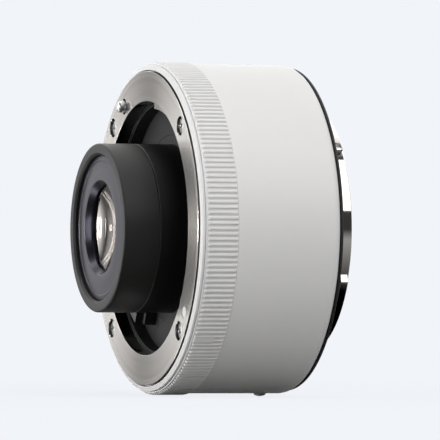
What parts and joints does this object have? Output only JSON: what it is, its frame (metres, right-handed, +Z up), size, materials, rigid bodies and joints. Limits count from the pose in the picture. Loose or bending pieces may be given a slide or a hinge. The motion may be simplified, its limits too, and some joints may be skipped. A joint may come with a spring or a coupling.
{
  "type": "camera teleconverter",
  "caption": "White camera teleconverter with a knurled grip, a black lens nose inside a steel bayonet socket, a sprung lock pin with its release slider, and a steel bayonet at the rear.",
  "frame": {"origin": "centre of the rear mount face, on the optical axis", "axes": "+Y along the optical axis towards the camera, -Y towards the lens, +Z up as in the picture, +X towards the side that the picture shows"},
  "size_m": [0.0624, 0.0427, 0.0626],
  "materials": {
    "white_coat": "satin off-white coat on light alloy",
    "black_alloy": "matt black anodised",
    "mount_steel": "turned stainless steel, bright",
    "screw_steel": "bright machine screws",
    "shim_brass": "rolled foil",
    "spring_steel": "ground steel",
    "white_mark": "white filled mark",
    "throat_black": "matt black moulding",
    "sleeve_black": "satin black anodised",
    "cap_grey": "matt dark grey coat",
    "retainer_grey": "matt purple-grey anodised",
    "coated_glass": "polished and coated",
    "slider_black": "matt black moulding",
    "contact_gold": "gold plated",
    "board_green": "solder-masked laminate",
    "flex_film": "amber film",
    "seal_rubber": "soft black rubber"
  },
  "bodies": {
    "converter": {"body_shell": "white_coat", "grip_ring": "white_coat", "front_rim": "white_coat", "front_chassis": "black_alloy", "rear_chassis": "black_alloy", "front_mount_ring": "mount_steel", "front_mount_screws": "screw_steel", "front_shim": "shim_brass", "leaf_spring": "spring_steel", "front_index_dot": "white_mark", "throat_floor": "throat_black", "floor_screws": "screw_steel", "nose_sleeve": "sleeve_black", "nose_cap": "cap_grey", "front_retainer": "retainer_grey", "lens_tube": "black_alloy", "tube_screws": "screw_steel", "lens_1": "coated_glass", "lens_2": "coated_glass", "lens_3": "coated_glass", "lens_4": "coated_glass", "lens_5": "coated_glass", "lens_6": "coated_glass", "lens_7": "coated_glass", "lens_8": "coated_glass", "spacer_1": "black_alloy", "spacer_2": "black_alloy", "spacer_3": "black_alloy", "spacer_4": "black_alloy", "rear_retainer": "black_alloy", "lock_spring": "spring_steel", "front_contact_block": "throat_black", "contact_springs": "spring_steel", "circuit_board": "board_green", "board_chips": "slider_black", "board_screws": "screw_steel", "front_flex": "flex_film", "rear_flex": "flex_film", "rear_mount_ring": "mount_steel", "rear_mount_screws": "screw_steel", "rear_shim": "shim_brass", "rear_seal": "seal_rubber", "stop_pin": "spring_steel", "rear_contact_block": "throat_black", "rear_contacts": "contact_gold", "rear_baffle": "throat_black", "rear_index_bead": "white_mark"},
    "lock": {"lock_pin": "spring_steel", "lock_carriage": "spring_steel", "release_slider": "slider_black"},
    "contacts": {"contact_pins": "contact_gold"}
  },
  "joints": [
    {"name": "lock_slide", "type": "slide", "parent": "converter", "child": "lock", "axis": [0, 1, 0], "range_m": [0, 0.0017], "stiffness_N_per_m": 400, "springref_m": -0.002, "deforming": ["lock_spring"]},
    {"name": "contact_press", "type": "slide", "parent": "converter", "child": "contacts", "axis": [0, 1, 0], "range_m": [0, 0.0008], "stiffness_N_per_m": 2000, "springref_m": -0.0005, "deforming": ["contact_springs"]}
  ]
}
